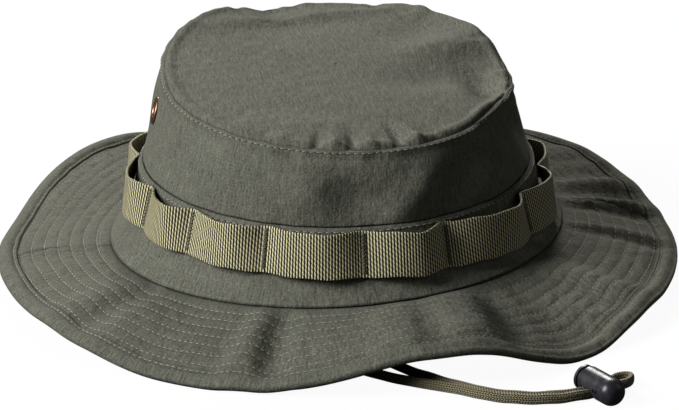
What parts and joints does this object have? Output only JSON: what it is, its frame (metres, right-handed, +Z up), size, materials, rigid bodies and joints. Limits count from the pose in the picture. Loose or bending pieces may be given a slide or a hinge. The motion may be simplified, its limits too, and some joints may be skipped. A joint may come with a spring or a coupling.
{
  "type": "boonie hat",
  "caption": "Soft ripstop field hat with a stitched wavy brim, a tacked webbing loop band, side vents and a chin cord with a sprung sliding lock.",
  "frame": {"origin": "centre of the head opening, on the ground plane the brim rests on", "axes": "+Z up through the crown, -Y towards the front of the hat, +X towards the wearer's left"},
  "size_m": [0.3084, 0.3387, 0.1001],
  "materials": {
    "ripstop": "woven, matt",
    "tape": "woven tape, matt",
    "sweatband_cloth": "plain weave, matt",
    "label_cloth": "smooth woven, blank",
    "interlining": "stiffened felt",
    "webbing": "ribbed nylon, slight sheen",
    "thread": "twisted thread",
    "vent_brass": "aged",
    "screen_wire": "dull",
    "cord": "braided",
    "lock_plastic": "semi-gloss",
    "spring_steel": "plain"
  },
  "bodies": {
    "hat": {"crown_tip": "ripstop", "crown_side_upper": "ripstop", "crown_side_lower": "ripstop", "tip_seam_tape": "tape", "sweatband": "sweatband_cloth", "size_label": "label_cloth", "brim_interlining": "interlining", "brim_top_front": "ripstop", "brim_top_back": "ripstop", "brim_under_front": "ripstop", "brim_under_back": "ripstop", "brim_binding": "ripstop", "webbing_band": "webbing", "bar_tacks": "thread", "vent_eyelets": "vent_brass", "vent_washers": "vent_brass", "vent_screens": "screen_wire", "cord_beckets": "tape"},
    "chin_cord": {"chin_cord": "cord"},
    "cord_lock": {"cord_lock_barrel": "lock_plastic", "cord_lock_spring": "spring_steel"},
    "plunger": {"cord_lock_plunger": "lock_plastic"}
  },
  "joints": [
    {"name": "chin_cord_swing", "type": "hinge", "parent": "hat", "child": "chin_cord", "pos_m": [0.00034, -0.00005, 0.01051], "axis": [0.9988, 0, 0.0485], "range_deg": [0, 150]},
    {"name": "cord_lock_travel", "type": "hinge", "parent": "chin_cord", "child": "cord_lock", "pos_m": [0.06069, -0.12503, 0], "axis": [0, 0, 1], "range_deg": [-46, 2]},
    {"name": "plunger_press", "type": "slide", "parent": "cord_lock", "child": "plunger", "axis": [0.4067, -0.9135, 0], "range_m": [0, 0.002], "stiffness_N_per_m": 600, "springref_m": -0.004, "deforming": ["cord_lock_spring"]}
  ]
}
